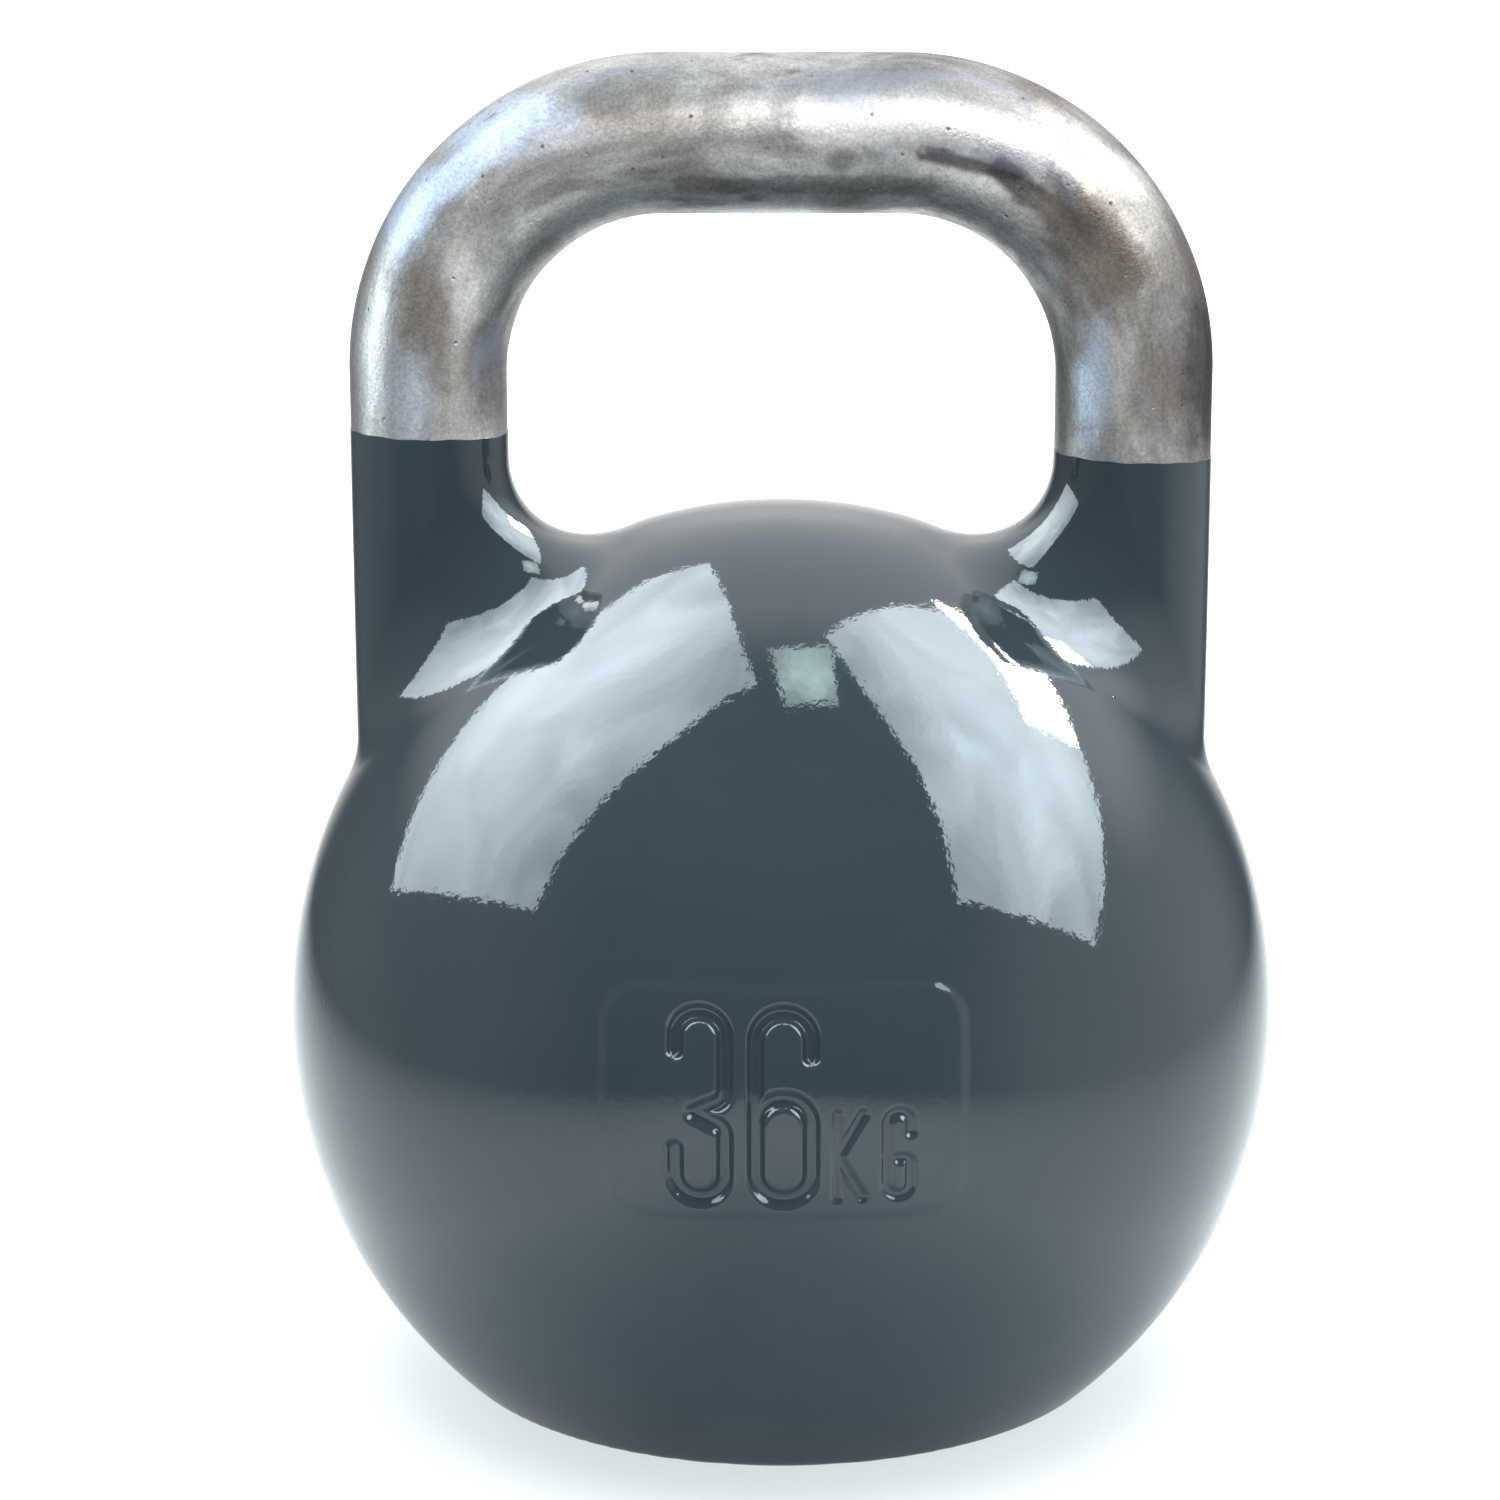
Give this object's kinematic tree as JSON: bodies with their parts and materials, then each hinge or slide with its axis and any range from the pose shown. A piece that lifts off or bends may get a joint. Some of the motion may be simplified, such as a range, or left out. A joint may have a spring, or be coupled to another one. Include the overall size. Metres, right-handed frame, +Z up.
{
  "type": "competition kettlebell",
  "caption": "Round painted steel ball with a flat base, two horns, a bare round-bar handle, a recessed weight mark and a plugged ballast chamber.",
  "frame": {"origin": "on the flat base, under the centre of the ball", "axes": "+Z up through the ball and the middle of the handle, +X along the handle's grip to the right horn, -Y out of the weight mark"},
  "size_m": [0.21, 0.2104, 0.28],
  "materials": {
    "body_paint": "gloss",
    "handle_steel": "satin",
    "weld_steel": "satin",
    "dowel_steel": "satin",
    "plug_paint": "satin",
    "seal_rubber": "matte",
    "screw_steel": "satin",
    "trim_steel": "satin",
    "cushion_rubber": "matte",
    "ballast_iron": "matte"
  },
  "bodies": {
    "root": {"bell_body": "body_paint", "handle_bar": "handle_steel", "handle_weld_left": "weld_steel", "handle_weld_right": "weld_steel", "handle_dowel_left": "dowel_steel", "handle_dowel_right": "dowel_steel", "base_plug": "plug_paint", "plug_seal": "seal_rubber", "lock_screw": "screw_steel", "trim_disc_1": "trim_steel", "trim_disc_2": "trim_steel", "trim_disc_3": "trim_steel", "ballast_cushion": "cushion_rubber", "ballast_core": "ballast_iron"}
  },
  "joints": []
}
